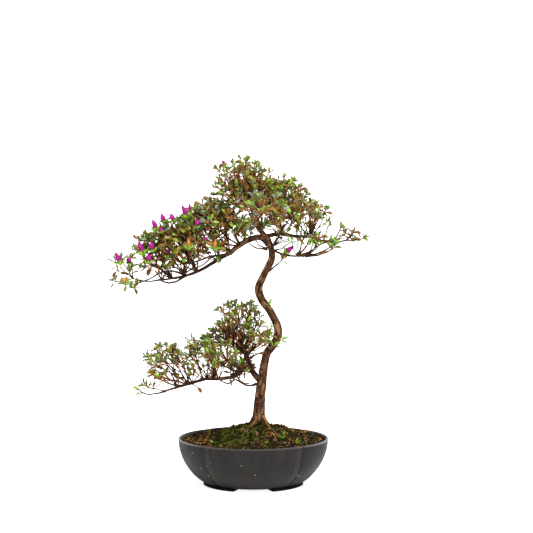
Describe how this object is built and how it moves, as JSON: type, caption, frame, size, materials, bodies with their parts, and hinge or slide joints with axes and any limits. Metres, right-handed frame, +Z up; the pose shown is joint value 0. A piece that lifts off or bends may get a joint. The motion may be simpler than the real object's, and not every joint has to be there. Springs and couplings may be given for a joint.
{
  "type": "azalea bonsai",
  "caption": "Potted azalea bonsai with a winding trunk, two tiers of fine twigs and small leaves, and slender buds, in an oval lobed pot.",
  "frame": {"origin": "under the middle of the whole plant's box, on the surface that the pot stands on", "axes": "+Z up along the trunk, +X to the right along the pot's long side, +Y to the back of the plant as it is shown"},
  "size_m": [0.5284, 0.2562, 0.663],
  "materials": {
    "pot": "satin",
    "soil": "matte",
    "moss": "matte",
    "bark": "matte",
    "foliage": "satin"
  },
  "bodies": {
    "root": {"pot": "pot", "soil": "soil", "trunk": "bark", "moss": "moss", "first_branch": "bark", "low_left_bough": "bark", "low_mid_bough": "bark", "low_back_bough": "bark", "low_front_bough": "bark", "left_bough": "bark", "left_bough_outer": "bark", "left_bough_tip": "bark", "left_side_bough": "bark", "left_back_bough": "bark", "right_bough": "bark", "right_low_bough": "bark", "right_back_bough": "bark", "front_bough": "bark", "back_bough": "bark", "crown_top": "foliage", "crown_right_top": "foliage", "crown_right": "foliage", "right_tip": "foliage", "right_low": "foliage", "crown_left": "foliage", "left_mid": "foliage", "left_outer": "foliage", "left_tip": "foliage", "left_side": "foliage", "crown_front": "foliage", "crown_back": "foliage", "back_left": "foliage", "back_right": "foliage", "low_top": "foliage", "low_mid": "foliage", "low_outer": "foliage", "low_tip": "foliage", "low_inner": "foliage", "low_back_left": "foliage", "low_back": "foliage", "low_front": "foliage", "low_right": "foliage", "trunk_spray": "foliage", "elbow_spray": "foliage", "bud_twig": "foliage", "left_inner": "foliage", "left_tip_low": "foliage", "crown_inner": "foliage"}
  },
  "joints": []
}
